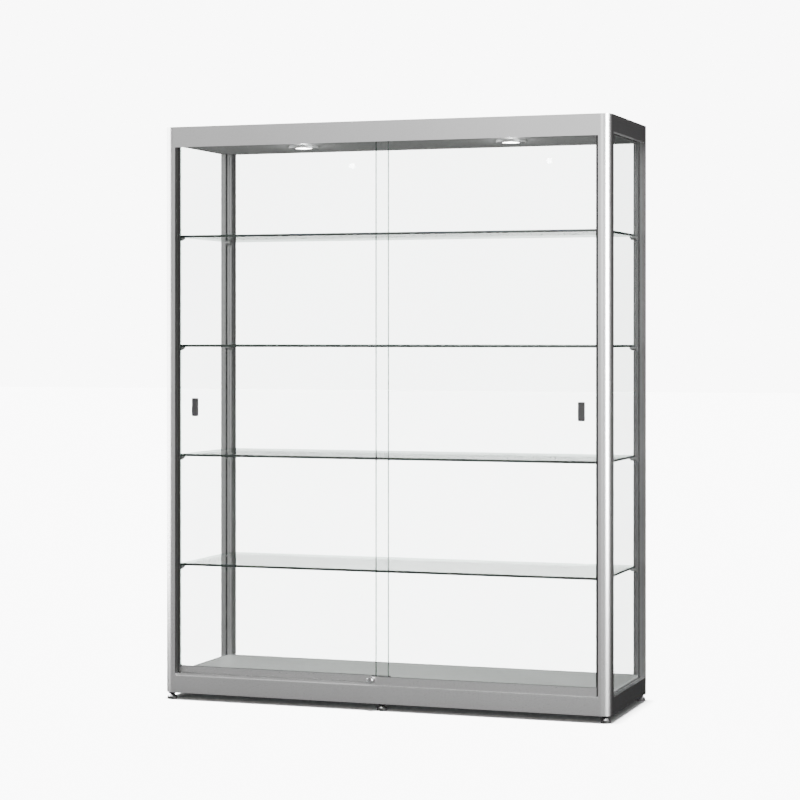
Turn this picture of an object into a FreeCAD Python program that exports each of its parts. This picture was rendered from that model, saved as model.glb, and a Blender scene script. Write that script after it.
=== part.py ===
import FreeCAD, Part
import math
import os
from types import SimpleNamespace
import Sketcher

# Floor-standing glass display cabinet with an aluminium frame, two sliding glass
# doors, four glass shelves, ceiling lights and six levelling feet.
# Frame: millimetres, origin at the middle of the footprint on the floor,
# +X to the right seen from the doors, +Y to the back, +Z up.

doc = FreeCAD.newDocument("DisplayCabinet")

SIZES = [
    # overall
    ("width", 1508.0), ("depth", 508.0), ("height", 1880.0),
    # corner posts
    ("post", 40.0), ("post_round", 32.0), ("post_core_lo", 16.0), ("post_core_hi", 26.0),
    ("groove_lo", 16.5), ("groove_hi", 25.5), ("groove_deep", 10.0),
    ("slot_lo", 30.0), ("slot_hi", 34.0), ("slot_deep", 4.0), ("cap_thick", 3.0),
    # horizontal rails and panels
    ("base_low", 23.0), ("base_top", 78.0), ("base_groove", 68.0), ("floor_top", 85.0),
    ("band_low", 1813.0), ("side_low", 1826.0), ("box_low", 1841.0), ("top_groove", 1834.0),
    ("inner_low", 1829.0), ("ceiling_low", 1826.0), ("roof_low", 1877.0), ("wall", 3.0), ("front_wall", 2.5),
    ("front_deep", 45.0), ("panel_half", 728.0), ("panel_back", 228.0), ("panel_front", -208.0),
    # glass
    ("glass", 5.0), ("glass_side", 733.0), ("glass_back", 233.0), ("shelf_glass", 8.0),
    ("shelf_half", 720.0), ("shelf_front", -200.0), ("shelf_back", 213.0),
    ("shelf_first", 435.4), ("shelf_pitch", 361.0),
    ("support_low", 708.0), ("support_high", 727.5), ("support_reach", 30.0), ("support_tall", 11.0),
    # doors and their tracks
    ("front_plane", -241.0), ("rear_plane", -218.0), ("rib_top", 86.0), ("rib_half", 1.0),
    ("track_top", 79.0), ("rail_low", 81.6), ("rail_top", 108.0), ("rail_half", 7.0),
    ("rail_seat", 99.0), ("rail_room", 96.5), ("rail_slot", 4.6), ("cap_top", 111.0), ("end_cap", 3.5),
    ("door_outer", 711.0), ("door_inner", 18.0), ("door_top", 1830.0),
    ("wheel_axis", 90.0), ("wheel_tread", 3.7), ("wheel_flange", 5.6), ("wheel_half", 4.0),
    ("axle_radius", 1.5), ("axle_half", 6.0), ("axle_hole", 1.55), ("wheel_inset", 60.0),
    ("pull_wide", 22.0), ("pull_tall", 60.0), ("pull_thick", 6.0), ("pull_axis", 960.0),
    # lock on the front door
    ("lock_x", -31.0), ("lock_z", 98.0), ("lock_radius", 11.5), ("plunger_radius", 9.95),
    ("plug_radius", 6.5), ("lock_clear", 0.05), ("lock_out", 14.0),
    # feet
    ("foot_inset", 21.0), ("foot_radius", 16.0), ("foot_pad", 9.0), ("cone_low", 13.0),
    ("cone_high", 8.0), ("cone_top", 18.0), ("stud_radius", 4.0), ("stud_top", 55.0),
    ("insert_top", 60.0), ("thread_clear", 0.05),
    # ceiling lights
    ("lamp_x", 360.0), ("lamp_y", 0.0), ("lamp_ring", 49.0), ("lamp_lens", 27.5), ("lamp_can", 40.0),
    ("lamp_drop", 7.0), ("lamp_top", 1854.0), ("cable_radius", 2.5), ("cable_z", 1847.0),
    ("cable_bend", 30.0),
]

sheet = doc.addObject("Spreadsheet::Sheet", "Sizes")
for row, (alias, value) in enumerate(SIZES, 1):
    sheet.set("A%d" % row, alias.replace("_", " "))
    sheet.set("B%d" % row, repr(value))
    sheet.setAlias("B%d" % row, alias)
doc.recompute()


# ------------------------------------------------------------ sizes with expressions
def num(size):
    """The number behind a size."""
    return size.value if isinstance(size, Dim) else float(size)


def txt(size):
    """The sheet expression behind a size."""
    if isinstance(size, Dim):
        return size.text
    return "%.6g" % size if size >= 0 else "(%.6g)" % size


class Dim:
    """A length that carries its value and the sheet expression it follows."""

    def __init__(self, value, text):
        self.value = value
        self.text = text

    def __add__(self, other):
        return Dim(self.value + num(other), "(%s + %s)" % (self.text, txt(other)))

    def __radd__(self, other):
        return Dim(num(other) + self.value, "(%s + %s)" % (txt(other), self.text))

    def __sub__(self, other):
        return Dim(self.value - num(other), "(%s - %s)" % (self.text, txt(other)))

    def __rsub__(self, other):
        return Dim(num(other) - self.value, "(%s - %s)" % (txt(other), self.text))

    def __mul__(self, other):
        return Dim(self.value * num(other), "(%s * %s)" % (self.text, txt(other)))

    __rmul__ = __mul__

    def __truediv__(self, other):
        return Dim(self.value / num(other), "(%s / %s)" % (self.text, txt(other)))

    def __neg__(self):
        return Dim(-self.value, "(0 - %s)" % self.text)


d = SimpleNamespace(**{alias: Dim(value, "Sizes." + alias) for alias, value in SIZES})
half_w = d.width / 2
half_d = d.depth / 2
inner_x = half_w - d.post          # faces of the posts that look along X
inner_y = half_d - d.post          # faces of the posts that look along Y
front_back = d.front_deep - half_d  # back face of the two front rails


# ------------------------------------------------------------ building helpers
def bind(obj, prop, size):
    if isinstance(size, Dim):
        obj.setExpression(prop, size.text)
    else:
        setattr(obj, prop, size)


def place(obj, x=0.0, y=0.0, z=0.0, turn=0.0, axis=(0, 0, 1)):
    """Put an object at a point, turned about an axis, and bind the point to the sheet."""
    obj.Placement = FreeCAD.Placement(FreeCAD.Vector(num(x), num(y), num(z)),
                                      FreeCAD.Rotation(FreeCAD.Vector(*axis), turn))
    for letter, size in zip("xyz", (x, y, z)):
        if isinstance(size, Dim):
            obj.setExpression("Placement.Base." + letter, size.text)
    return obj


def box(name, x, y, z):
    """A box between two X, two Y and two Z limits."""
    obj = doc.addObject("Part::Box", name)
    for prop, (low, high) in zip(("Length", "Width", "Height"), (x, y, z)):
        bind(obj, prop, high - low)
    return place(obj, x[0], y[0], z[0])


TURNS = {"z": (0.0, (0, 0, 1)), "y": (-90.0, (1, 0, 0)), "x": (90.0, (0, 1, 0))}


def rod(name, radius, along, start, end, first, second):
    """A cylinder along x, y or z from start to end; first and second are the other two places."""
    obj = doc.addObject("Part::Cylinder", name)
    bind(obj, "Radius", radius)
    bind(obj, "Height", end - start)
    point = {"x": (start, first, second), "y": (first, start, second), "z": (first, second, start)}[along]
    turn, axis = TURNS[along]
    return place(obj, *point, turn=turn, axis=axis)


def origin_plane(body, role):
    return [f for f in body.Origin.OriginFeatures if f.Role == role][0]


def outline(body, role, loops):
    """A sketch of closed straight-sided loops, every corner dimensioned from the origin."""
    sketch = body.newObject("Sketcher::SketchObject", body.Name + "_outline")
    sketch.AttachmentSupport = (origin_plane(body, role), [""])
    sketch.MapMode = "FlatFace"
    for loop in loops:
        first = sketch.GeometryCount
        count = len(loop)
        for i, (a, b) in enumerate(loop):
            a2, b2 = loop[(i + 1) % count]
            sketch.addGeometry(Part.LineSegment(FreeCAD.Vector(num(a), num(b), 0),
                                                FreeCAD.Vector(num(a2), num(b2), 0)))
        for i, (a, b) in enumerate(loop):
            sketch.addConstraint(Sketcher.Constraint("Coincident", first + i, 2,
                                                     first + (i + 1) % count, 1))
            for kind, size in (("DistanceX", a), ("DistanceY", b)):
                k = sketch.addConstraint(Sketcher.Constraint(kind, first + i, 1, num(size)))
                if isinstance(size, Dim):
                    sketch.setExpression("Constraints[%d]" % k, size.text)
    return sketch


def extrude(name, role, loops, length, at=(0.0, 0.0, 0.0), turn=0.0):
    """A body padded from a section: XY sections go up, YZ along +X and XZ along +Y."""
    body = doc.addObject("PartDesign::Body", name)
    pad = body.newObject("PartDesign::Pad", name + "_pad")
    pad.Profile = outline(body, role, loops)
    bind(pad, "Length", length)
    pad.Reversed = role == "XZ_Plane"
    place(body, *at, turn=turn)
    return body


def revolve(name, loop, at, turn=0.0, axis=(0, 0, 1)):
    """A body turned about its own Z from a half section of (radius, height) corners."""
    body = doc.addObject("PartDesign::Body", name)
    ring = body.newObject("PartDesign::Revolution", name + "_turned")
    sketch = outline(body, "XZ_Plane", [loop])
    ring.Profile = sketch
    ring.ReferenceAxis = (sketch, ["V_Axis"])
    ring.Angle = 360.0
    return place(body, *at, turn=turn, axis=axis)


def round_edges(body, radius, wanted):
    """Fillet the edges of a body's last feature whose middle point passes the test."""
    doc.recompute()
    base = body.Tip
    names = []
    for i, edge in enumerate(base.Shape.Edges, 1):
        middle = edge.CenterOfMass
        if wanted(middle, edge):
            names.append("Edge%d" % i)
    if not names:
        raise SystemExit("no edge to round on " + body.Name)
    fillet = body.newObject("PartDesign::Fillet", body.Name + "_rounds")
    fillet.Base = (base, names)
    bind(fillet, "Radius", radius)
    body.Tip = fillet
    return body


def cut(name, base, tools):
    """The base less every tool."""
    obj = doc.addObject("Part::Cut", name)
    obj.Base = base
    obj.Tool = tools[0] if len(tools) == 1 else group(name + "_tools", tools)
    return obj


def fuse(name, pieces):
    obj = doc.addObject("Part::MultiFuse", name)
    obj.Shapes = pieces
    obj.Refine = True
    return obj


def group(name, pieces):
    """Several separate solids under one name."""
    obj = doc.addObject("Part::Compound", name)
    obj.Links = pieces
    return obj


def copy_of(name, source, x, y, z, turn=0.0):
    """A linked copy of a piece drawn about its own origin."""
    link = doc.addObject("App::Link", name)
    link.LinkedObject = source
    link.LinkTransform = False
    return place(link, x, y, z, turn=turn)


NODES = []


def node(label, obj):
    """Name a finished sub-part; the label is its file name."""
    obj.Label = label
    NODES.append(obj)
    return obj


# ------------------------------------------------------------ corner posts
def build_posts():
    """Rounded posts with a glass groove and a shelf slot in both inner faces."""
    p, lo, hi = d.post, d.groove_lo, d.groove_hi
    deep, s_lo, s_hi, s_deep = d.groove_deep, d.slot_lo, d.slot_hi, d.slot_deep
    outer = [(0.0, 0.0), (p, 0.0), (p, lo), (p - deep, lo), (p - deep, hi), (p, hi),
             (p, s_lo), (p - s_deep, s_lo), (p - s_deep, s_hi), (p, s_hi), (p, p),
             (s_hi, p), (s_hi, p - s_deep), (s_lo, p - s_deep), (s_lo, p),
             (hi, p), (hi, p - deep), (lo, p - deep), (lo, p), (0.0, p)]
    c0, c1 = d.post_core_lo, d.post_core_hi
    core = [(c0, c0), (c1, c0), (c1, c1), (c0, c1)]
    corners = {"front_left": (-half_w, -half_d, 0.0), "front_right": (half_w, -half_d, 90.0),
               "rear_right": (half_w, half_d, 180.0), "rear_left": (-half_w, half_d, 270.0)}
    caps = []
    for where, (x, y, turn) in corners.items():
        post = extrude("post_" + where, "XY_Plane", [outer, core], d.roof_low - d.base_low,
                       (x, y, d.base_low), turn)
        round_edges(post, d.post_round,
                    lambda m, e: abs(m.x) < 0.01 and abs(m.y) < 0.01 and e.Length > 100)
        node("post_" + where, post)
        cap = extrude("cap_" + where, "XY_Plane", [[(0.0, 0.0), (p, 0.0), (p, p), (0.0, p)]],
                      d.cap_thick, (x, y, d.roof_low), turn)
        round_edges(cap, d.post_round, lambda m, e: abs(m.x) < 0.01 and abs(m.y) < 0.01)
        caps.append(cap)
    node("post_caps", group("post_caps", caps))


# ------------------------------------------------------------ rails
def build_base_rails():
    """Hollow rails between the posts; side and rear ones carry a glass groove."""
    p, lo, hi, w = d.post, d.groove_lo, d.groove_hi, d.wall
    up = d.base_top - d.base_low
    seat = d.base_groove - d.base_low
    section = [(0.0, 0.0), (p, 0.0), (p, up), (hi, up), (hi, seat), (lo, seat), (lo, up), (0.0, up)]
    room = [(w, w), (p - w, w), (p - w, seat - w - 1.0), (w, seat - w - 1.0)]
    flipped = [[(-a, b) for a, b in loop] for loop in (section, room)]
    node("base_rail_left", extrude("base_rail_left", "XZ_Plane", [section, room], inner_y * 2,
                                   (-half_w, -inner_y, d.base_low)))
    node("base_rail_right", extrude("base_rail_right", "XZ_Plane", flipped, inner_y * 2,
                                    (half_w, -inner_y, d.base_low)))
    rear = extrude("base_rail_rear_section", "YZ_Plane", flipped, inner_x * 2,
                   (-inner_x, half_d, d.base_low))
    hole = rod("rear_stud_hole", d.stud_radius + d.thread_clear, "z", d.base_low - 1.0,
               d.base_low + 6.0, 0.0, half_d - d.foot_inset)
    node("base_rail_rear", cut("base_rail_rear", rear, [hole]))
    fw, fd = d.front_wall, d.front_deep
    front = extrude("base_rail_front_section", "YZ_Plane",
                    [[(0.0, 0.0), (fd, 0.0), (fd, up), (0.0, up)],
                     [(fw, fw), (fd - fw, fw), (fd - fw, up - fw), (fw, up - fw)]],
                    inner_x * 2, (-inner_x, -half_d, d.base_low))
    hole = rod("front_stud_hole", d.stud_radius + d.thread_clear, "z", d.base_low - 1.0,
               d.base_low + 6.0, 0.0, d.foot_inset - half_d)
    node("base_rail_front", cut("base_rail_front", front, [hole]))


def build_top_rails():
    """Deep top band all round: grooved side and rear rails, and a front rail with an apron."""
    p, lo, hi, w = d.post, d.groove_lo, d.groove_hi, d.wall
    low = d.side_low
    ledge = half_d - d.panel_back
    section = [(0.0, 0.0), (lo, 0.0), (lo, d.top_groove - low), (hi, d.top_groove - low),
               (hi, d.inner_low - low), (p, d.inner_low - low), (p, d.roof_low - low),
               (ledge, d.roof_low - low), (ledge, d.height - low), (0.0, d.height - low)]
    room_low, room_top = d.top_groove + w - low, d.roof_low - w - low
    room = [(w, room_low), (p - w, room_low), (p - w, room_top), (w, room_top)]
    flipped = [[(-a, b) for a, b in loop] for loop in (section, room)]
    node("top_rail_left", extrude("top_rail_left", "XZ_Plane", [section, room], inner_y * 2,
                                  (-half_w, -inner_y, low)))
    node("top_rail_right", extrude("top_rail_right", "XZ_Plane", flipped, inner_y * 2,
                                   (half_w, -inner_y, low)))
    rear = extrude("top_rail_rear_section", "YZ_Plane", flipped, inner_x * 2,
                   (-inner_x, half_d, low))
    outlet = rod("cable_outlet", 7.0, "y", half_d - w - 1.0, half_d + 1.0, -200.0, d.cable_z)
    passage = rod("cable_passage", d.cable_radius + 1.0, "y", inner_y - 1.0, inner_y + w + 1.0,
                  -200.0, d.cable_z)
    node("top_rail_rear", cut("top_rail_rear", rear, [outlet, passage]))
    low, fw, fd = d.band_low, d.front_wall, d.front_deep
    box_low, top = d.box_low - low, d.height - low
    node("top_rail_front", extrude(
        "top_rail_front", "YZ_Plane",
        [[(0.0, 0.0), (fw, 0.0), (fw, box_low), (fd, box_low), (fd, top), (0.0, top)],
         [(fw, box_low + fw), (fd - fw, box_low + fw), (fd - fw, top - fw), (fw, top - fw)]],
        inner_x * 2, (-inner_x, -half_d, low)))


def build_corner_joints():
    """Angle brackets that tie the rails together at each corner, with their screws."""
    brackets, screws = [], []
    leg, thick = 40.0, 3.0
    for level, (low, high) in (("base", (d.base_low + 12.0, d.base_low + 42.0)),
                               ("top", (d.inner_low + 8.0, d.inner_low + 38.0))):
        for side, sx in (("left", -1.0), ("right", 1.0)):
            for end, face, sy in (("front", front_back, -1.0), ("rear", inner_y, 1.0)):
                tag = "%s_%s_%s" % (level, end, side)
                corner = inner_x * sx
                shape = [(corner, face), (corner - sx * leg, face),
                         (corner - sx * leg, face - sy * thick),
                         (corner - sx * thick, face - sy * thick),
                         (corner - sx * thick, face - sy * leg), (corner, face - sy * leg)]
                plate = extrude("bracket_" + tag, "XY_Plane", [shape], high - low, (0.0, 0.0, low))
                middle = (low + high) / 2
                holes = []
                for i, away in enumerate((14.0, 30.0)):
                    at = corner - sx * away
                    ends = sorted((face - sy * (thick + 1.0), face + sy * 1.0), key=num)
                    holes.append(rod("hole_%s_%d" % (tag, i), 2.6, "y", ends[0], ends[1], at, middle))
                    screws.append(make_screw("screw_%s_%d" % (tag, i), "y", at,
                                             face - sy * thick, middle, sy))
                    at = face - sy * away
                    ends = sorted((corner - sx * (thick + 1.0), corner + sx * 1.0), key=num)
                    holes.append(rod("hole_%s_%d" % (tag, i + 2), 2.6, "x", ends[0], ends[1], at, middle))
                    screws.append(make_screw("screw_%s_%d" % (tag, i + 2), "x", at,
                                             corner - sx * thick, middle, sx))
                brackets.append(cut("angle_" + tag, plate, holes))
    node("corner_brackets", group("corner_brackets", brackets))
    node("bracket_screws", group("bracket_screws", screws))


def make_screw(name, along, at, seat, middle, sign):
    """A button-head screw whose head sits on a seat and whose shank runs into the rail."""
    head = sorted((seat, seat - sign * 2.5), key=num)
    shank = sorted((seat - sign * 1.0, seat + sign * 7.0), key=num)
    return fuse(name, [rod(name + "_head", 4.5, along, head[0], head[1], at, middle),
                       rod(name + "_shank", 2.5, along, shank[0], shank[1], at, middle)])


# ------------------------------------------------------------ panels
def build_panels():
    """Floor, ceiling and roof panels, notched round the rear posts."""
    e, back, front = d.panel_half, d.panel_back, d.panel_front
    shape = [(-e, front), (e, front), (e, inner_y), (inner_x, inner_y), (inner_x, back),
             (-inner_x, back), (-inner_x, inner_y), (-e, inner_y)]
    node("floor_panel", extrude("floor_panel", "XY_Plane", [shape], d.floor_top - d.base_top,
                                (0.0, 0.0, d.base_top)))
    ceiling = extrude("ceiling_plain", "XY_Plane", [shape], d.inner_low - d.ceiling_low,
                      (0.0, 0.0, d.ceiling_low))
    holes = [rod("lamp_hole_%d" % i, d.lamp_can + 0.2, "z", d.ceiling_low - 1.0,
                 d.inner_low + 1.0, sx * d.lamp_x, d.lamp_y) for i, sx in enumerate((-1.0, 1.0))]
    node("ceiling_panel", cut("ceiling_panel", ceiling, holes))
    shape[0], shape[1] = (-e, front_back), (e, front_back)
    node("roof_panel", extrude("roof_panel", "XY_Plane", [shape], d.height - d.roof_low,
                               (0.0, 0.0, d.roof_low)))


# ------------------------------------------------------------ fixed glazing
def build_glazing():
    """Two side panes and a rear pane held in channel gaskets."""
    g = d.glass / 2
    low, high = d.base_groove + 2.0, d.top_groove - 2.0
    edge_y = inner_y + d.groove_deep - 2.0
    edge_x = inner_x + d.groove_deep - 2.0
    for side, sx in (("left", -1.0), ("right", 1.0)):
        node("side_glass_" + side, box("side_glass_" + side,
                                       (sx * d.glass_side - g, sx * d.glass_side + g),
                                       (-edge_y, edge_y), (low, high)))
    node("rear_glass", box("rear_glass", (-edge_x, edge_x),
                           (d.glass_back - g, d.glass_back + g), (low, high)))
    strips = []
    half, base = (d.groove_hi - d.groove_lo) / 2, d.groove_deep
    channel = [(-half, -base), (half, -base), (half, 0.0), (g, 0.0), (g, 2.0 - base),
               (-g, 2.0 - base), (-g, 0.0), (-half, 0.0)]
    tall = d.top_groove - d.base_groove
    along_y, along_x = inner_y * 2, inner_x * 2
    lips = [(a, 4.0 if b == 0.0 else b) for a, b in channel]
    for i, (sx, sy) in enumerate(((-1, -1), (1, -1), (1, 1), (-1, 1))):
        shape = [(a, b * -sy) for a, b in (lips if sy < 0 else channel)]
        strips.append(extrude("side_strip_%d" % i, "XY_Plane", [shape], tall,
                              (sx * d.glass_side, sy * inner_y, d.base_groove)))
    for i, sx in enumerate((-1, 1)):
        shape = [(b * -sx, a) for a, b in channel]
        strips.append(extrude("rear_strip_%d" % i, "XY_Plane", [shape], tall,
                              (sx * inner_x, d.glass_back, d.base_groove)))
    lower = [(a, b + base) for a, b in channel]
    upper = [(-half, 0.0), (half, 0.0), (half, -6.0), (g, -6.0), (g, -2.0), (-g, -2.0),
             (-g, -6.0), (-half, -6.0)]
    for level, shape, z in (("low", lower, d.base_groove), ("high", upper, d.top_groove)):
        for i, sx in enumerate((-1, 1)):
            strips.append(extrude("side_%s_strip_%d" % (level, i), "XZ_Plane", [shape], along_y,
                                  (sx * d.glass_side, -inner_y, z)))
        strips.append(extrude("rear_%s_strip" % level, "YZ_Plane", [shape], along_x,
                              (-inner_x, d.glass_back, z)))
    node("glazing_gaskets", group("glazing_gaskets", strips))


# ------------------------------------------------------------ door surround
def build_door_surround():
    """Upper and lower double tracks and the two black jambs the doors close against."""
    f, r, w = d.front_plane, d.rear_plane, d.rib_half
    low, top, rib = d.base_top, d.track_top, d.rib_top
    back = front_back
    sole = [(0.5 - half_d, low), (back, low), (back, rib - 1.0), (back - 1.2, rib - 1.0),
            (back - 1.2, top), (r + w, top), (r + w, rib), (r - w, rib), (r - w, top),
            (f + w, top), (f + w, rib), (f - w, rib), (f - w, top), (0.5 - half_d, top)]
    node("lower_door_track", extrude("lower_door_track", "YZ_Plane", [sole], inner_x * 2,
                                     (-inner_x, 0.0, 0.0)))
    legs, head, high = d.band_low + 4.0, d.box_low - 2.5, d.box_low
    edge = d.front_wall - half_d
    crown = [(edge, high), (edge, legs), (f - 4.0, legs), (f - 4.0, head), (f + 4.0, head),
             (f + 4.0, legs), (f + 6.0, legs), (f + 6.0, head), (r - 6.0, head), (r - 6.0, legs),
             (r - 4.0, legs), (r - 4.0, head), (r + 4.0, head), (r + 4.0, legs), (r + 6.0, legs),
             (r + 6.0, head), (back, head), (back, high)]
    node("upper_door_track", extrude("upper_door_track", "YZ_Plane", [crown], inner_x * 2,
                                     (-inner_x, 0.0, 0.0)))
    lo, hi = d.groove_lo - half_d, d.groove_hi - half_d
    lip_lo, lip_hi = f + 7.5, f + 15.5
    for side, sx, lip in (("left", -1.0, 6.0), ("right", 1.0, 12.0)):
        x0 = sx * inner_x
        shape = [(x0, 1.5 - half_d), (x0 - sx * 2.0, 1.5 - half_d), (x0 - sx * 2.0, lip_lo),
                 (x0 - sx * lip, lip_lo), (x0 - sx * lip, lip_hi), (x0 - sx * 2.0, lip_hi),
                 (x0 - sx * 2.0, -0.5 - inner_y), (x0, -0.5 - inner_y), (x0, hi),
                 (x0 + sx * 6.0, hi), (x0 + sx * 6.0, lo), (x0, lo)]
        node("door_jamb_" + side, extrude("door_jamb_" + side, "XY_Plane", [shape],
                                          d.band_low - rib - 1.0, (0.0, 0.0, rib + 1.0)))


# ------------------------------------------------------------ sliding doors
def build_door(side, plane, ends, pull_x, rail_ends, wheels):
    """One door: bottom rail with end caps, glass, stick-on pull and two grooved rollers."""
    h, g = d.rail_half, d.glass / 2
    low, top, seat = d.rail_low, d.rail_top, d.rail_seat
    slot, room = d.rail_slot, d.rail_room
    section = [(-h, low), (-slot, low), (-slot, room), (slot, room), (slot, low), (h, low),
               (h, top), (g, top), (g, seat), (-g, seat), (-g, top), (-h, top)]
    rail = extrude(side + "_rail_section", "YZ_Plane", [section], rail_ends[1] - rail_ends[0],
                   (rail_ends[0], plane, 0.0))
    holes = [rod("%s_axle_hole_%d" % (side, i), d.axle_hole, "y", plane - d.axle_half - 0.2,
                 plane + d.axle_half + 0.2, x, d.wheel_axis) for i, x in enumerate(wheels)]
    node(side + "_door_rail", cut(side + "_door_rail", rail, holes))
    node(side + "_door_glass", box(side + "_door_glass", ends, (plane - g, plane + g),
                                   (seat, d.door_top)))
    rib, over = d.rib_half + 0.8, d.rib_top + 1.0
    foot = [(h, low), (rib, low), (rib, over), (-rib, over), (-rib, low), (-h, low)]
    forked = foot + [(-h, d.cap_top), (-g, d.cap_top), (-g, seat), (g, seat), (g, d.cap_top),
                     (h, d.cap_top)]
    plain = foot + [(-h, top), (h, top)]
    caps = []
    for i, (start, end) in enumerate(((ends[0], rail_ends[0]), (rail_ends[1], ends[1]))):
        if num(end) > num(start):
            caps.append(extrude("%s_end_cap_%d" % (side, i), "YZ_Plane", [forked], end - start,
                                (start, plane, 0.0)))
    if num(rail_ends[1]) == num(ends[1]):
        caps.append(extrude("%s_end_plate" % side, "YZ_Plane", [plain], 4.0,
                            (ends[1], plane, 0.0)))
    node(side + "_door_end_caps", group(side + "_door_end_caps", caps))
    half = d.pull_wide / 2
    pull = extrude(side + "_door_pull", "XZ_Plane",
                   [[(-half, -d.pull_tall / 2), (half, -d.pull_tall / 2),
                     (half, d.pull_tall / 2), (-half, d.pull_tall / 2)]],
                   d.pull_thick, (pull_x, plane - g - d.pull_thick, d.pull_axis))
    round_edges(pull, 4.0, lambda m, e: abs(abs(m.x) - num(half)) < 0.1
                and abs(abs(m.z) - num(d.pull_tall) / 2) < 0.1)
    round_edges(pull, 1.5, lambda m, e: abs(m.y) < 0.01)
    node(side + "_door_pull", pull)
    tread, rim, wide = d.wheel_tread, d.wheel_flange, d.wheel_half
    axle, reach = d.axle_radius, d.axle_half
    profile = [(0.0, -reach), (axle, -reach), (axle, -wide), (rim, -wide), (rim, -1.3), (tread, -1.3),
               (tread, 1.3), (rim, 1.3), (rim, wide), (axle, wide), (axle, reach), (0.0, reach)]
    for i, x in enumerate(wheels, 1):
        node("%s_door_roller_%d" % (side, i),
             revolve("%s_door_roller_%d" % (side, i), profile, (x, plane, d.wheel_axis),
                     turn=-90.0, axis=(1, 0, 0)))


def build_doors():
    """The left door runs in the rear track and the right door in the front one."""
    outer, inner, cap, inset = d.door_outer, d.door_inner, d.end_cap, d.wheel_inset
    build_door("left", d.rear_plane, (-outer, inner), -655.5, (cap - outer, inner),
               (inset - outer, inner - inset))
    build_door("right", d.front_plane, (-inner, outer), 659.0, (-inner, outer - cap),
               (inset - inner, outer - inset))


def build_lock():
    """Push lock at the inner end of the right door's rail: housing, plunger and key plug."""
    x, z, front = d.lock_x, d.lock_z, d.front_plane - 9.0
    rail_end = -d.door_inner
    sleeve = rod("lock_sleeve", d.lock_radius, "y", front + 1.0, front + 22.0, x, z)
    block = box("lock_block", (x, rail_end), (front + 3.0, front + 15.0), (z - 9.5, z + 9.5))
    bore = rod("lock_bore", d.plunger_radius + d.lock_clear, "y", front, front + 23.0, x, z)
    node("lock_housing", cut("lock_housing", fuse("lock_shell", [sleeve, block]), [bore]))
    nose, tail = front - d.lock_out, front + 10.5
    long, wide, room = tail - nose, d.plunger_radius, d.plug_radius + d.lock_clear
    barrel = [(room, 0.0), (wide - 1.0, 0.0), (wide, 1.0), (wide, long), (0.0, long),
              (0.0, long - 4.0), (room, long - 4.0)]
    node("lock_plunger", revolve("lock_plunger", barrel, (x, nose, z), turn=-90.0, axis=(1, 0, 0)))
    plug = rod("plug_barrel", d.plug_radius, "y", nose + 0.2, tail - 4.3, x, z)
    keyway = box("plug_keyway", (x - 0.8, x + 0.8), (nose - 1.0, nose + 8.0), (z - 4.0, z + 4.0))
    node("lock_plug", cut("lock_plug", plug, [keyway]))


# ------------------------------------------------------------ shelves
def build_shelves():
    """Four glass shelves, each on four clips hooked into the slots of the posts."""
    reach, tall = d.support_reach, d.support_tall
    wedge = [(0.0, 0.0), (reach, 0.0), (reach, -4.0), (5.0, -tall), (0.0, -tall)]
    low, high = d.support_low, d.support_high
    slot = half_w - (d.slot_lo + d.slot_hi) / 2
    clips = {}
    for hand, sx in (("left", -1.0), ("right", 1.0)):
        near, far = sorted((sx * low, sx * high), key=num)
        arm = extrude("clip_arm_" + hand, "YZ_Plane", [wedge], far - near, (near, 0.0, 0.0))
        hook = box("clip_hook_" + hand, (sx * slot - 1.8, sx * slot + 1.8), (-3.5, 1.0),
                   (-tall + 2.0, -2.0))
        clips[sx] = fuse("clip_" + hand, [arm, hook])
    supports = []
    for i in range(4):
        z = d.shelf_first + d.shelf_pitch * float(i)
        node("shelf_%d" % (i + 1), box("shelf_%d" % (i + 1), (-d.shelf_half, d.shelf_half),
                                       (d.shelf_front, d.shelf_back), (z, z + d.shelf_glass)))
        for hand, sx in (("left", -1.0), ("right", 1.0)):
            supports.append(copy_of("clip_%d_front_%s" % (i + 1, hand), clips[sx],
                                    0.0, -inner_y, z))
            supports.append(copy_of("clip_%d_rear_%s" % (i + 1, hand), clips[-sx],
                                    0.0, inner_y, z, turn=180.0))
    node("shelf_supports", group("shelf_supports", supports))


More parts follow.
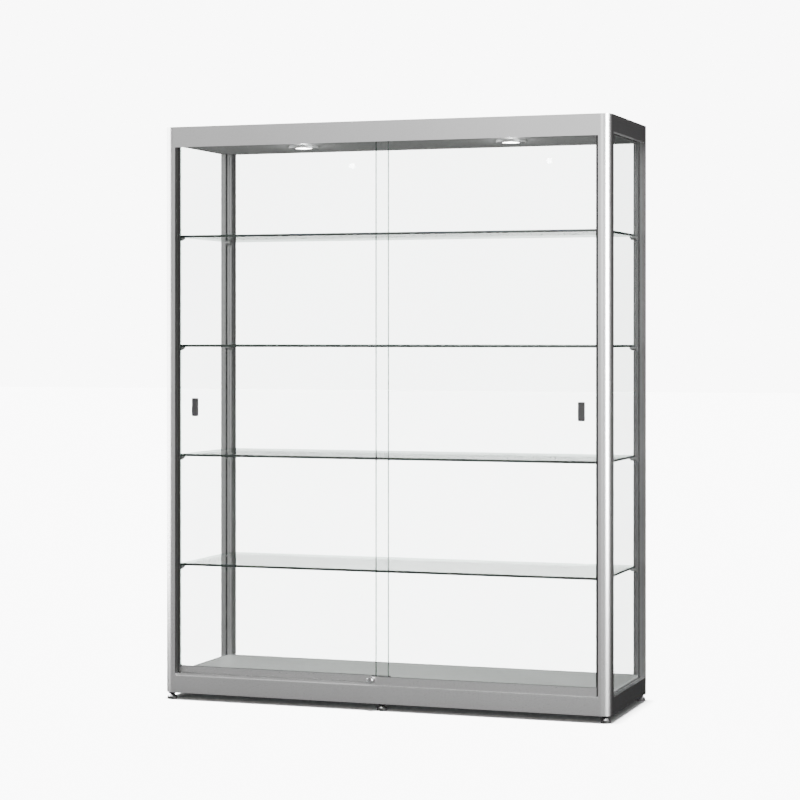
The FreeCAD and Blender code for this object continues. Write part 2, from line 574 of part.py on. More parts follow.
# ------------------------------------------------------------ feet
def build_feet():
    """Six levelling feet with jam nuts under the frame and threaded inserts inside it."""
    profile = [(0.0, 0.0), (d.foot_radius, 0.0), (d.foot_radius, d.foot_pad),
               (d.cone_low, d.foot_pad), (d.cone_high, d.cone_top), (d.stud_radius, d.cone_top),
               (d.stud_radius, d.stud_top), (0.0, d.stud_top)]
    fx, fy = half_w - d.foot_inset, half_d - d.foot_inset
    spots = {"front_left": (-fx, -fy), "front_middle": (0.0, -fy), "front_right": (fx, -fy),
             "rear_left": (-fx, fy), "rear_middle": (0.0, fy), "rear_right": (fx, fy)}
    nuts, inserts = [], []
    hexagon = [(13.5 * math.cos(math.radians(60 * k)), 13.5 * math.sin(math.radians(60 * k)))
               for k in range(6)]
    bore = d.stud_radius + d.thread_clear
    for where, (x, y) in spots.items():
        node("foot_" + where, revolve("foot_" + where, profile, (x, y, 0.0)))
        blank = extrude("nut_blank_" + where, "XY_Plane", [hexagon], d.base_low - d.cone_top - 0.3,
                        (x, y, d.cone_top + 0.3))
        thread = rod("nut_thread_" + where, bore, "z", d.cone_top, d.base_low + 1.0, x, y)
        nuts.append(cut("nut_" + where, blank, [thread]))
        half, bottom = (d.post_core_hi - d.post_core_lo) / 2, d.base_low
        if where.endswith("middle"):
            half, bottom = 9.0, d.base_low + (d.front_wall if where.startswith("front") else d.wall)
        block = box("insert_block_" + where, (x - half, x + half), (y - half, y + half),
                    (bottom, d.insert_top))
        thread = rod("insert_thread_" + where, bore, "z", d.base_low - 1.0, d.insert_top + 1.0, x, y)
        inserts.append(cut("insert_" + where, block, [thread]))
    node("foot_nuts", group("foot_nuts", nuts))
    node("foot_inserts", group("foot_inserts", inserts))


# ------------------------------------------------------------ ceiling lights
def elbow(name, x, y, turn):
    """A quarter bend of cable, lying flat, about the given centre."""
    bend = doc.addObject("Part::Torus", name)
    bind(bend, "Radius1", d.cable_bend)
    bind(bend, "Radius2", d.cable_radius)
    bend.Angle3 = 90.0
    return place(bend, x, y, d.cable_z, turn=turn)


def build_lights():
    """Two recessed lamps, their driver above the ceiling, its cables and the cable entry."""
    low, y = d.ceiling_low, d.lamp_y
    bezels, lenses, cans = [], [], []
    for i, sx in enumerate((-1.0, 1.0)):
        x = sx * d.lamp_x
        ring = rod("lamp_ring_%d" % i, d.lamp_ring, "z", low - d.lamp_drop, low, x, y)
        eye = rod("lamp_eye_%d" % i, d.lamp_lens, "z", low - d.lamp_drop - 1.0, low + 1.0, x, y)
        bezels.append(cut("lamp_bezel_%d" % i, ring, [eye]))
        lenses.append(rod("lamp_lens_%d" % i, d.lamp_lens, "z", low - d.lamp_drop + 0.5, low, x, y))
        cans.append(rod("lamp_can_%d" % i, d.lamp_can, "z", low, d.lamp_top, x, y))
    node("led_bezels", group("led_bezels", bezels))
    node("led_lenses", group("led_lenses", lenses))
    node("led_bodies", group("led_bodies", cans))
    driver_x, driver_y, deep = 80.0, 150.0, 30.0
    node("led_driver", box("led_driver", (-driver_x, driver_x), (driver_y - deep, driver_y + deep),
                           (d.inner_low, d.inner_low + 25.0)))
    bend, r, z = d.cable_bend, d.cable_radius, d.cable_z
    cables = []
    for i, sx in enumerate((-1.0, 1.0)):
        ends = sorted((sx * driver_x, sx * (d.lamp_x - bend)), key=num)
        run = rod("lamp_run_%d" % i, r, "x", ends[0], ends[1], driver_y, z)
        turn = elbow("lamp_bend_%d" % i, sx * (d.lamp_x - bend), driver_y - bend,
                     0.0 if sx > 0 else 90.0)
        drop = rod("lamp_drop_%d" % i, r, "y", y + d.lamp_can, driver_y - bend, sx * d.lamp_x, z)
        cables.append(fuse("lamp_cable_%d" % i, [run, turn, drop]))
    feed = [rod("feed_run", r, "y", driver_y + bend, half_d - d.wall - 4.0, -200.0, z),
            elbow("feed_bend", -200.0 + bend, driver_y + bend, 180.0),
            rod("feed_end", r, "x", -200.0 + bend, -driver_x, driver_y, z)]
    cables.append(fuse("feed_cable", feed))
    node("led_cables", group("led_cables", cables))
    flange = rod("gland_flange", 9.0, "y", half_d - d.wall - 4.0, half_d - d.wall, -200.0, z)
    neck = rod("gland_neck", 7.0, "y", half_d - d.wall - 1.0, half_d - 0.5, -200.0, z)
    bore = rod("gland_bore", 4.0, "y", half_d - d.wall - 5.0, half_d + 1.0, -200.0, z)
    node("mains_gland", cut("mains_gland", fuse("gland_shell", [flange, neck]), [bore]))


build_posts()
build_base_rails()
build_top_rails()
build_corner_joints()
build_panels()
build_glazing()
build_door_surround()
build_doors()
build_lock()
build_shelves()
build_feet()
build_lights()
doc.recompute()

# ------------------------------------------------------------ checks and files
for obj in doc.Objects:
    if "Invalid" in obj.State or "Error" in obj.State:
        raise SystemExit("failed: %s %s" % (obj.Label, obj.State))
for obj in NODES:
    if obj.Shape.isNull() or not obj.Shape.isValid() or not obj.Shape.Solids:
        raise SystemExit("bad shape: " + obj.Label)

os.makedirs("parts", exist_ok=True)
for obj in NODES:
    obj.Shape.exportStep("parts/%s.step" % obj.Label)
print(len(NODES), "sub-parts,", sum(len(obj.Shape.Solids) for obj in NODES), "solids")
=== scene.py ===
import math

import bpy
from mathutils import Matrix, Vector


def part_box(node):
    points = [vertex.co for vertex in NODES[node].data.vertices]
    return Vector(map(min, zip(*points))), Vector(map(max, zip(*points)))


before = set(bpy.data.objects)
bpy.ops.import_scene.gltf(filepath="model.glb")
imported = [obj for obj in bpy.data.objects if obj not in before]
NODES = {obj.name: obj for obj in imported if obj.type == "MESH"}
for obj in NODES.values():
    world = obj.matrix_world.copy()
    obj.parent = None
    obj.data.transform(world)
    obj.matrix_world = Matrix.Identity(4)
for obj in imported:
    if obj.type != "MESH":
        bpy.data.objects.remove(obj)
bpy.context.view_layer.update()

# materials: how noise is spread into colours, and the numbers that several materials share
NOISE_LOW, NOISE_HIGH = 0.3, 0.7     # noise values that give the low and the high end of a ramp
NOISE_ROUGHNESS = 0.55
CLOUD_SCALE = 3.0                    # broad variation, per metre
FINE_DETAIL, BROAD_DETAIL = 4.0, 2.0
COAT_ROUGHNESS = 0.15
PLASTIC_IOR = 1.45
GLASS_GLOSS = 0.02                   # roughness of the reflection in a pane
FRESNEL_POWER = 5.0
VEIL_SCALE, VEIL_LIFT = 1.5, 0.008   # faint unevenness in the tint of a pane
GROUND_EDGE_SCALE = 200.0
INSIDE_EDGE_TINT = (0.80, 0.86, 0.83, 1.0)
DIFFUSER_SCALE, DIFFUSER_SHADE = 260.0, 0.9
STRETCH = 0.03                       # a drawn grain is this much slower along the profile
ALONG_X, ALONG_Y, ALONG_Z = (STRETCH, 1.0, 1.0), (1.0, STRETCH, 1.0), (1.0, 1.0, STRETCH)
GRAIN = {"scale": 2500.0, "bump": 0.0005, "bump_size": 0.00005, "cloud": 0.8}
WHITE = (1.0, 1.0, 1.0, 1.0)

# the colour sockets of a colour Mix node
MIX_A, MIX_B, MIX_RESULT = 6, 7, 2

# where the second material of a piece starts
SQUARE_ON = 0.7                      # part of a unit normal, for a face that looks along an axis
PAD_TOP = 0.0095                     # height of the black pad under each foot, in metres

# chamfers, in metres
DOOR_CHAMFER, SHELF_CHAMFER, METAL_CHAMFER = 0.0022, 0.0012, 0.0004
CHAMFER_SEGMENTS, CHAMFER_ANGLE = 2, 40.0
BODY_SLOT, EDGE_SLOT = -1, 1

# studio: how bright the floor is to the camera and to everything else
FLOOR_REACH = 40.0
FLOOR_SEEN, FLOOR_BRIGHT, FLOOR_DARK, SHADOW_LIFT = 0.9, 0.36, 0.01, 0.02
# the bright parts of the floor, as start and full in metres, and the brightness of the last
IN_FRONT = (-0.20, -0.45)
BEHIND_Y, BEHIND_X = (0.26, 0.40), (0.76, 0.64)
FAR_BEHIND, FAR_LEVEL = (1.6, 2.6), 0.35
BACKDROP, AMBIENT = 9.0, 2.3
# brightness of the room from front (-1) to back (+1) and from below (-1) to above (+1)
AROUND = ((-1.0, 1.0), (-0.6, 0.5), (0.0, 0.02), (1.0, 0.010))
UPWARD = ((-1.0, 0.06), (-0.30, 0.14), (0.12, 0.88), (1.0, 1.0))
# the same from left (-1) to right (+1), and what is added from straight above
ACROSS = ((-1.0, 0.30), (-0.42, 0.30), (-0.21, 1.0), (0.1, 1.9), (0.5, 0.35))
OVERHEAD = ((-1.0, 0.0), (0.35, 0.0), (0.65, 0.30), (1.0, 0.30))
SUN, SUN_TILTS, SUN_WIDTH = 32.0, (-0.3, 0.1, 0.5, 0.9), 0.35
# soft boxes: name, place, target, size, power
SOFTBOXES = (("softbox_right", (4.6, -2.35, 1.45), (0.75, -0.25, 1.2), (2.0, 2.3), 720.0),
             ("softbox_left", (-4.0, 0.2, 1.5), (-0.75, 0.2, 1.3), (5.0, 3.2), 520.0))
LAMP_X, LAMP_POWER, LAMP_SPREAD, GLOW_POWER = 0.36, 3.0, 70.0, 0.6
LAMP_SIZE, LAMP_COLOUR, LAMP_GAP = 0.05, (1.0, 0.99, 0.97), 0.004
GLOW_DROP, GLOW_RADIUS = 0.022, 0.01
GLASS_LAYERS = 24                    # see-through surfaces that a ray may cross one after another

# camera
SENSOR, LENS, SHIFT_Y = 36.0, 103.227, -0.0813
CAMERA_PLACE, CAMERA_TILT, CAMERA_TURN = (2.4562, -7.1263, 1.1971), 90.0, 19.16


# ---------------------------------------------------------------- material helpers
class Shader:
    """A material under construction, with short ways to add and join nodes."""

    def __init__(self, name):
        self.material = bpy.data.materials.new(name)
        self.material.use_nodes = True
        self.tree = self.material.node_tree
        self.tree.nodes.clear()
        self.out = self.add("ShaderNodeOutputMaterial")

    def add(self, kind, **values):
        node = self.tree.nodes.new(kind)
        for key, value in values.items():
            if key in node.inputs:
                node.inputs[key].default_value = value
            else:
                setattr(node, key, value)
        return node

    def join(self, source, target):
        self.tree.links.new(source, target)

    def coords(self, scale=(1.0, 1.0, 1.0)):
        """Object-space coordinates in metres, stretched so that detail runs along one axis."""
        mapping = self.add("ShaderNodeMapping")
        mapping.inputs["Scale"].default_value = scale
        self.join(self.add("ShaderNodeTexCoord").outputs["Object"], mapping.inputs["Vector"])
        return mapping.outputs["Vector"]

    def noise(self, vector, scale, detail):
        node = self.add("ShaderNodeTexNoise", Scale=scale, Detail=detail,
                        Roughness=NOISE_ROUGHNESS)
        self.join(vector, node.inputs["Vector"])
        return node.outputs["Fac"]

    def ramp(self, factor, low, high, start=NOISE_LOW, end=NOISE_HIGH):
        """Greys or colours from low to high as the factor goes from start to end."""
        node = self.add("ShaderNodeValToRGB")
        for element, position, colour in zip(node.color_ramp.elements, (start, end), (low, high)):
            element.position = position
            rgb = colour if isinstance(colour, tuple) else (colour, colour, colour)
            element.color = rgb + (1.0,)
        self.join(factor, node.inputs["Fac"])
        return node.outputs["Color"]

    def bump(self, height, strength, distance):
        node = self.add("ShaderNodeBump", Strength=strength, Distance=distance)
        self.join(height, node.inputs["Height"])
        return node.outputs["Normal"]


def surface(name, low, high, metal, rough, rough_spread=0.05, grain=(1.0, 1.0, 1.0), scale=120.0,
            bump=0.1, bump_size=0.0001, coat=0.0, cloud=0.35):
    """An opaque material: cloudy colour variation, fine grain in roughness and relief."""
    s = Shader(name)
    bsdf = s.add("ShaderNodeBsdfPrincipled", Metallic=metal, IOR=PLASTIC_IOR)
    bsdf.inputs["Coat Weight"].default_value = coat
    bsdf.inputs["Coat Roughness"].default_value = COAT_ROUGHNESS
    fine = s.noise(s.coords(grain), scale, FINE_DETAIL)
    broad = s.noise(s.coords(), CLOUD_SCALE, BROAD_DETAIL)
    blend = s.add("ShaderNodeMix", data_type="FLOAT")
    blend.inputs["Factor"].default_value = cloud
    s.join(fine, blend.inputs["A"])
    s.join(broad, blend.inputs["B"])
    s.join(s.ramp(blend.outputs["Result"], low, high), bsdf.inputs["Base Color"])
    s.join(s.ramp(fine, rough - rough_spread, rough + rough_spread), bsdf.inputs["Roughness"])
    s.join(s.bump(fine, bump, bump_size), bsdf.inputs["Normal"])
    s.join(bsdf.outputs["BSDF"], s.out.inputs["Surface"])
    return s.material


def clear_glass(name, tint, least, most, edge_shade=None):
    """A thin pane: straight through with a faint tint, more mirror-like the flatter it is seen.

    The share of reflection rises from least to most with the fifth power of the facing term.
    The last argument gives the width, as a part of the pane, and the tint of a band of painted
    shade along the two upright edges.
    """
    s = Shader(name)
    veil = s.noise(s.coords(), VEIL_SCALE, BROAD_DETAIL)
    through = s.add("ShaderNodeBsdfTransparent")
    clear = s.ramp(veil, tint, tuple(min(1.0, c + VEIL_LIFT) for c in tint), 0.35, 0.65)
    # painted shade: a darker band of tint along the two upright edges of the pane
    if edge_shade:
        edge_shade_width, edge_shade_tint = edge_shade
        across = s.add("ShaderNodeSeparateXYZ")
        s.join(s.add("ShaderNodeTexCoord").outputs["Generated"], across.inputs["Vector"])
        away = s.add("ShaderNodeMath", operation="SUBTRACT")
        away.inputs[1].default_value = 0.5
        s.join(across.outputs["X"], away.inputs[0])
        size = s.add("ShaderNodeMath", operation="ABSOLUTE")
        s.join(away.outputs["Value"], size.inputs[0])
        edge_shade_band = s.add("ShaderNodeMath", operation="GREATER_THAN")
        edge_shade_band.inputs[1].default_value = 0.5 - edge_shade_width
        s.join(size.outputs["Value"], edge_shade_band.inputs[0])
        both = s.add("ShaderNodeMix", data_type="RGBA")
        s.join(edge_shade_band.outputs["Value"], both.inputs["Factor"])
        s.join(clear, both.inputs[MIX_A])
        both.inputs[MIX_B].default_value = edge_shade_tint + (1.0,)
        clear = both.outputs[MIX_RESULT]
    s.join(clear, through.inputs["Color"])
    gloss = s.add("ShaderNodeBsdfGlossy", Color=WHITE, Roughness=GLASS_GLOSS)
    facing = s.add("ShaderNodeLayerWeight", Blend=0.5)
    power = s.add("ShaderNodeMath", operation="POWER")
    power.inputs[1].default_value = FRESNEL_POWER
    s.join(facing.outputs["Facing"], power.inputs[0])
    share = s.add("ShaderNodeMath", operation="MULTIPLY_ADD")
    share.inputs[1].default_value = most - least
    share.inputs[2].default_value = least
    s.join(power.outputs["Value"], share.inputs[0])
    mix = s.add("ShaderNodeMixShader")
    s.join(share.outputs["Value"], mix.inputs["Fac"])
    s.join(through.outputs["BSDF"], mix.inputs[1])
    s.join(gloss.outputs["BSDF"], mix.inputs[2])
    s.join(mix.outputs["Shader"], s.out.inputs["Surface"])
    return s.material


def edge_glass(name, low, high, rough):
    """A ground glass edge: dark green from outside, clear when seen from within the glass."""
    s = Shader(name)
    bsdf = s.add("ShaderNodeBsdfPrincipled", Roughness=rough)
    bsdf.inputs["Coat Weight"].default_value = 1.0
    fine = s.noise(s.coords(), GROUND_EDGE_SCALE, FINE_DETAIL)
    s.join(s.ramp(fine, low, high), bsdf.inputs["Base Color"])
    clear = s.add("ShaderNodeBsdfTransparent", Color=INSIDE_EDGE_TINT)
    mix = s.add("ShaderNodeMixShader")
    s.join(s.add("ShaderNodeNewGeometry").outputs["Backfacing"], mix.inputs["Fac"])
    s.join(bsdf.outputs["BSDF"], mix.inputs[1])
    s.join(clear.outputs["BSDF"], mix.inputs[2])
    s.join(mix.outputs["Shader"], s.out.inputs["Surface"])
    return s.material


def glowing(name, colour, strength):
    """A lamp lens: evenly bright, with a faint dotted diffuser."""
    s = Shader(name)
    bsdf = s.add("ShaderNodeBsdfPrincipled", Roughness=0.35)
    dots = s.add("ShaderNodeTexVoronoi", Scale=DIFFUSER_SCALE)
    s.join(s.coords(), dots.inputs["Vector"])
    darker = tuple(c * DIFFUSER_SHADE for c in colour)
    shade = s.ramp(dots.outputs["Distance"], colour, darker, 0.2, 0.8)
    s.join(shade, bsdf.inputs["Base Color"])
    s.join(shade, bsdf.inputs["Emission Color"])
    bsdf.inputs["Emission Strength"].default_value = strength
    s.join(bsdf.outputs["BSDF"], s.out.inputs["Surface"])
    return s.material


def aluminium(name, grain, low=0.68, high=0.72, rough=0.28):
    """Anodised aluminium, with its drawn grain along one axis."""
    return surface(name, low, high, 1.0, rough, 0.01, grain=grain, **GRAIN)


M = {
    # painted shade: darker copies of the aluminium for the inner faces of the rear posts
    "alu_painted_shade": aluminium("anodised_aluminium_painted_shade", ALONG_Z, 0.45, 0.53, 0.36),
    "alu_painted_deep_shade": aluminium("anodised_aluminium_painted_deep_shade", ALONG_Z, 0.19, 0.24, 0.34),
    "alu_z": aluminium("anodised_aluminium_upright", ALONG_Z),
    "alu_x": aluminium("anodised_aluminium_long", ALONG_X),
    "alu_y": aluminium("anodised_aluminium_deep", ALONG_Y),
    "panel": surface("satin_silver_panel", 0.56, 0.62, 0.45, 0.38, 0.05, scale=300.0, bump=0.05),
    "pane": clear_glass("pane_glass", (0.872, 0.880, 0.877), 0.015, 0.25),
    # the door panes carry a band of painted shade along their two upright edges
    "door": clear_glass("door_glass", (0.970, 0.976, 0.974), 0.015, 0.25,
                        edge_shade=(0.0042, (0.45, 0.50, 0.48))),
    "pane_edge": surface("pane_glass_edge", (0.07, 0.09, 0.085), (0.10, 0.13, 0.12), 0.0, 0.25,
                         scale=200.0, coat=0.5),
    "shelf": clear_glass("shelf_glass", (0.93, 0.945, 0.935), 0.02, 0.65),
    "shelf_edge": edge_glass("shelf_glass_edge", (0.006, 0.012, 0.009),
                             (0.010, 0.020, 0.015), 0.2),
    "door_edge": surface("door_glass_edge", (0.05, 0.06, 0.058), (0.08, 0.10, 0.095), 0.0, 0.25,
                         scale=200.0, coat=0.5),
    "gasket": surface("grey_pvc", 0.10, 0.14, 0.0, 0.5, scale=500.0, bump=0.15),
    "black": surface("black_pvc", 0.012, 0.022, 0.0, 0.5, scale=500.0, bump=0.15),
    "grey": surface("grey_plastic", 0.022, 0.036, 0.0, 0.45, scale=700.0, bump=0.2),
    "nut": surface("black_steel", 0.010, 0.018, 0.6, 0.4, scale=400.0),
    "zinc": surface("zinc_steel", 0.45, 0.58, 1.0, 0.35, 0.08, scale=60.0, cloud=0.6),
    "clip": surface("clip_metal", 0.42, 0.50, 0.9, 0.32, scale=300.0),
    "nylon": surface("white_nylon", 0.75, 0.82, 0.0, 0.45, scale=200.0),
    "chrome": surface("bright_chrome", 0.72, 0.78, 1.0, 0.08, 0.02, scale=80.0, bump=0.02),
    "lamp": surface("dark_lamp_metal", 0.06, 0.09, 0.8, 0.38, scale=400.0),
    # the ceiling panel is much darker than the floor and roof panels
    "ceiling": surface("satin_grey_panel", 0.19, 0.23, 0.15, 0.60, 0.05, scale=300.0, bump=0.05),
    "lens": glowing("lamp_lens", (1.0, 0.985, 0.96), 14.0),
    "white": surface("white_plastic", 0.74, 0.80, 0.0, 0.4, scale=300.0),
    "cable": surface("black_cable", 0.015, 0.025, 0.0, 0.55, scale=300.0),
}


# ---------------------------------------------------------------- dress the frame
def dress(nodes, key, edge=None, edge_rule=None):
    """Give nodes one material, and a second one on the faces that a rule picks."""
    for name in nodes:
        mesh = NODES[name].data
        mesh.materials.clear()
        mesh.materials.append(M[key])
        for polygon in mesh.polygons:
            polygon.material_index = 0
        if edge:
            mesh.materials.append(M[edge])
            for polygon in mesh.polygons:
                polygon.material_index = 1 if edge_rule(polygon) else 0


def not_facing(axis):
    """The faces that do not look along the axis: the edges of a pane or a panel."""
    return lambda polygon: abs(polygon.normal[axis]) < SQUARE_ON


dress(["post_front_left", "post_front_right"], "alu_z")
# the two faces of a rear post that look into the cabinet carry darker aluminium as painted shade,
# darker still on the right post; the real posts are one metal
dress(["post_rear_left"], "alu_z", "alu_painted_shade",
      lambda polygon: polygon.normal.y < -SQUARE_ON or polygon.normal.x > SQUARE_ON)
dress(["post_rear_right"], "alu_z", "alu_painted_deep_shade",
      lambda polygon: polygon.normal.y < -SQUARE_ON or polygon.normal.x < -SQUARE_ON)
dress(["post_caps", "base_rail_front", "base_rail_rear", "top_rail_front", "top_rail_rear",
       "lower_door_track", "upper_door_track", "left_door_rail", "right_door_rail"], "alu_x")
dress(["base_rail_left", "base_rail_right", "top_rail_left", "top_rail_right"], "alu_y")
dress(["floor_panel", "roof_panel"], "panel")
dress(["ceiling_panel"], "ceiling")
dress(["side_glass_left", "side_glass_right"], "pane", "pane_edge", not_facing(0))
dress(["rear_glass"], "pane", "pane_edge", not_facing(1))
dress(["left_door_glass", "right_door_glass"], "door", "door_edge", not_facing(1))
dress(["shelf_1", "shelf_2", "shelf_3", "shelf_4"], "shelf", "shelf_edge", not_facing(2))
dress(["glazing_gaskets"], "gasket")
dress(["door_jamb_left", "door_jamb_right", "left_door_end_caps",
       "right_door_end_caps", "mains_gland"], "black")
dress(["left_door_pull", "right_door_pull"], "grey")
dress(["corner_brackets", "bracket_screws", "foot_inserts"], "zinc")
dress(["foot_nuts"], "nut")
dress(["shelf_supports"], "clip")
dress(["left_door_roller_1", "left_door_roller_2", "right_door_roller_1",
       "right_door_roller_2"], "nylon")
dress(["lock_housing", "lock_plunger", "lock_plug"], "chrome")
FEET = [name for name in NODES if name.startswith("foot_") and name.count("_") == 2]
dress(FEET, "chrome", "black", lambda polygon: polygon.center.z < PAD_TOP)
dress(["led_bodies"], "lamp")
# the upright walls of each bezel take the lighter satin silver panel material, the rest stays dark
dress(["led_bezels"], "lamp", "panel", not_facing(2))
dress(["led_lenses"], "lens")
dress(["led_driver"], "white")
dress(["led_cables"], "cable")


def soften(names, width, slot):
    """A fine chamfer on the sharp edges; slot picks the material it takes."""
    for name in names:
        edge = NODES[name].modifiers.new("fine_edge", "BEVEL")
        edge.width = width
        edge.segments = CHAMFER_SEGMENTS
        edge.limit_method = "ANGLE"
        edge.angle_limit = math.radians(CHAMFER_ANGLE)
        edge.material = slot


soften(["left_door_glass", "right_door_glass"], DOOR_CHAMFER, EDGE_SLOT)
soften(["shelf_1", "shelf_2", "shelf_3", "shelf_4"], SHELF_CHAMFER, EDGE_SLOT)
soften(["base_rail_front", "top_rail_front", "left_door_rail", "right_door_rail", "left_door_pull",
        "right_door_pull", "led_bezels", "floor_panel"], METAL_CHAMFER, BODY_SLOT)


# ---------------------------------------------------------------- studio
def look_at(obj, target):
    obj.rotation_euler = (Vector(target) - obj.location).to_track_quat("-Z", "Y").to_euler()


def area_light(name, place, target, size, power, colour=(1.0, 1.0, 1.0)):
    data = bpy.data.lights.new(name, "AREA")
    data.shape = "RECTANGLE"
    data.size, data.size_y = size
    data.energy = power
    data.color = colour
    obj = bpy.data.objects.new(name, data)
    bpy.context.scene.collection.objects.link(obj)
    obj.location = place
    look_at(obj, target)
    return obj


def studio_floor():
    """A pale floor, darker to everything but the camera, so that it throws little light up.

    To everything but the camera it glows in front of the cabinet and behind it, which is what the
    frame reflects.
    """
    mesh = bpy.data.meshes.new("studio_floor")
    mesh.from_pydata([(-FLOOR_REACH, -FLOOR_REACH, 0), (FLOOR_REACH, -FLOOR_REACH, 0),
                      (FLOOR_REACH, FLOOR_REACH, 0), (-FLOOR_REACH, FLOOR_REACH, 0)],
                     [], [(0, 1, 2, 3)])
    floor = bpy.data.objects.new("studio_floor", mesh)
    bpy.context.scene.collection.objects.link(floor)
    s = Shader("studio_floor")
    bsdf = s.add("ShaderNodeBsdfDiffuse")
    seen = s.add("ShaderNodeLightPath").outputs["Is Camera Ray"]
    s.join(s.ramp(seen, 0.0, FLOOR_SEEN, 0.0, 1.0), bsdf.inputs["Color"])
    parts = s.add("ShaderNodeSeparateXYZ")
    s.join(s.coords(), parts.inputs["Vector"])

    def rise(axis, start, full, level=1.0):
        """Zero up to start along the axis, level from full on."""
        zone = s.add("ShaderNodeMapRange")
        zone.inputs["To Max"].default_value = level
        zone.inputs["From Min"].default_value = start
        zone.inputs["From Max"].default_value = full
        s.join(parts.outputs[axis], zone.inputs["Value"])
        return zone.outputs["Result"]

    behind = s.add("ShaderNodeMath", operation="MULTIPLY")
    s.join(rise("Y", *BEHIND_Y), behind.inputs[0])
    s.join(rise("X", *BEHIND_X), behind.inputs[1])
    bright = behind
    for zone in (rise("Y", *FAR_BEHIND, FAR_LEVEL), rise("Y", *IN_FRONT)):
        more = s.add("ShaderNodeMath", operation="MAXIMUM")
        s.join(bright.outputs["Value"], more.inputs[0])
        s.join(zone, more.inputs[1])
        bright = more
    tone = s.add("ShaderNodeMix", data_type="RGBA")
    s.join(seen, tone.inputs["Factor"])
    s.join(s.ramp(bright.outputs["Value"], FLOOR_DARK, FLOOR_BRIGHT, 0.0, 1.0),
           tone.inputs[MIX_A])
    tone.inputs[MIX_B].default_value = (SHADOW_LIFT, SHADOW_LIFT, SHADOW_LIFT, 1.0)
    glow = s.add("ShaderNodeEmission")
    s.join(tone.outputs[MIX_RESULT], glow.inputs["Color"])
    both = s.add("ShaderNodeAddShader")
    s.join(bsdf.outputs["BSDF"], both.inputs[0])
    s.join(glow.outputs["Emission"], both.inputs[1])
    s.join(both.outputs["Shader"], s.out.inputs["Surface"])
    mesh.materials.append(s.material)
    return floor


def studio_world():
    """White where the camera sees it; what lights the cabinet is bright in front, dim behind."""
    world = bpy.data.worlds.new("studio_world")
    bpy.context.scene.world = world
    world.use_nodes = True
    tree = world.node_tree
    tree.nodes.clear()

    def add(kind, **values):
        node = tree.nodes.new(kind)
        for key, value in values.items():
            setattr(node, key, value)
        return node

    def combine(kind, first, second):
        both = add("ShaderNodeMix", data_type="RGBA", blend_type=kind)
        both.inputs["Factor"].default_value = 1.0
        tree.links.new(first, both.inputs[MIX_A])
        tree.links.new(second, both.inputs[MIX_B])
        return both.outputs[MIX_RESULT]

    def ramp(source, stops):
        """Brightness by direction, from -1 to +1 along one axis."""
        spread = add("ShaderNodeMapRange")
        spread.inputs["From Min"].default_value = -1.0
        spread.inputs["From Max"].default_value = 1.0
        tree.links.new(source, spread.inputs["Value"])
        node = add("ShaderNodeValToRGB")
        elements = node.color_ramp.elements
        while len(elements) < len(stops):
            elements.new(0.5)
        for element, (place, value) in zip(elements, stops):
            element.position = (place + 1.0) / 2.0
            element.color = (value, value, value, 1.0)
        node.color_ramp.interpolation = "EASE"
        tree.links.new(spread.outputs["Result"], node.inputs["Fac"])
        return node.outputs["Color"]

    parts = add("ShaderNodeSeparateXYZ")
    tree.links.new(add("ShaderNodeTexCoord").outputs["Generated"], parts.inputs["Vector"])
    room = ramp(parts.outputs["Y"], AROUND)
    room = combine("MULTIPLY", room, ramp(parts.outputs["Z"], UPWARD))
    room = combine("MULTIPLY", room, ramp(parts.outputs["X"], ACROSS))
    room = combine("ADD", room, ramp(parts.outputs["Z"], OVERHEAD))
    unseen = add("ShaderNodeBackground")
    unseen.inputs["Strength"].default_value = AMBIENT
    tree.links.new(room, unseen.inputs["Color"])
    seen = add("ShaderNodeBackground")
    seen.inputs["Color"].default_value = WHITE
    seen.inputs["Strength"].default_value = BACKDROP
    mix = add("ShaderNodeMixShader")
    tree.links.new(add("ShaderNodeLightPath").outputs["Is Camera Ray"], mix.inputs["Fac"])
    tree.links.new(unseen.outputs["Background"], mix.inputs[1])
    tree.links.new(seen.outputs["Background"], mix.inputs[2])
    tree.links.new(mix.outputs["Shader"], add("ShaderNodeOutputWorld").inputs["Surface"])


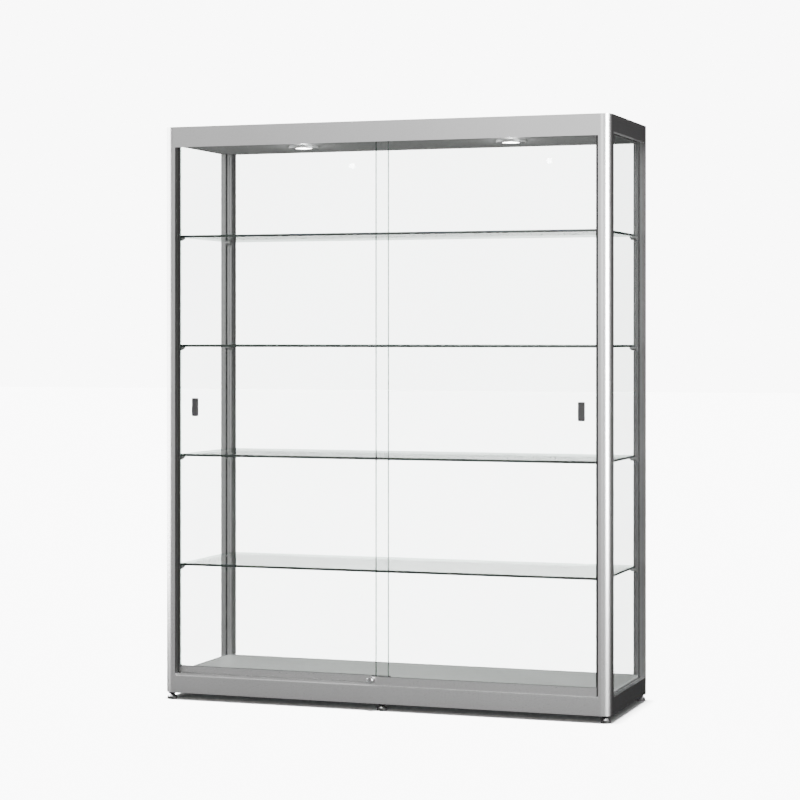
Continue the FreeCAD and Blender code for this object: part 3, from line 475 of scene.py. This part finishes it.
def link_light(light, objects, include):
    """Light only these objects, or everything but them."""
    lit = bpy.data.collections.new(light.name + "_lit")
    for item in objects:
        lit.objects.link(item)
    if not include:
        for linked in lit.collection_objects:
            linked.light_linking.link_state = "EXCLUDE"
    light.light_linking.receiver_collection = lit


def build_studio():
    """Suns for the shadow on the floor, soft boxes and the cabinet's own lamps for the rest."""
    floor = studio_floor()
    studio_world()
    for i, tilt in enumerate(SUN_TILTS):
        data = bpy.data.lights.new("overhead_%d" % i, "SUN")
        data.energy = SUN / len(SUN_TILTS)
        data.angle = math.radians(SUN_WIDTH)
        sun = bpy.data.objects.new("overhead_%d" % i, data)
        sun.rotation_euler = (0.0, -math.radians(tilt), 0.0)
        bpy.context.scene.collection.objects.link(sun)
        link_light(sun, [floor], True)
    boxes = [area_light(*box) for box in SOFTBOXES]
    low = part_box("led_lenses")[0][2] - LAMP_GAP
    for i, x in enumerate((-LAMP_X, LAMP_X)):
        lamp = area_light("lamp_%d" % i, (x, 0.0, low), (x, 0.0, 0.0), (LAMP_SIZE, LAMP_SIZE),
                          LAMP_POWER, LAMP_COLOUR)
        lamp.data.spread = math.radians(LAMP_SPREAD)
        lamp.data.shape = "DISK"
        glow = bpy.data.lights.new("lamp_glow_%d" % i, "POINT")
        glow.energy = GLOW_POWER
        glow.shadow_soft_size = GLOW_RADIUS
        halo = bpy.data.objects.new("lamp_glow_%d" % i, glow)
        halo.location = (x, 0.0, low - GLOW_DROP)
        bpy.context.scene.collection.objects.link(halo)
        boxes += [lamp, halo]
    for light in boxes:
        spared = [floor]
        if light.name == "softbox_right":
            spared.append(NODES["ceiling_panel"])
        link_light(light, spared, False)
    bpy.context.scene.cycles.transparent_max_bounces = GLASS_LAYERS


def build_camera():
    data = bpy.data.cameras.new("camera")
    data.sensor_width = SENSOR
    data.lens = LENS
    data.shift_y = SHIFT_Y
    camera = bpy.data.objects.new("camera", data)
    bpy.context.scene.collection.objects.link(camera)
    camera.location = CAMERA_PLACE
    camera.rotation_euler = (math.radians(CAMERA_TILT), 0.0, math.radians(CAMERA_TURN))
    bpy.context.scene.camera = camera


build_studio()
build_camera()
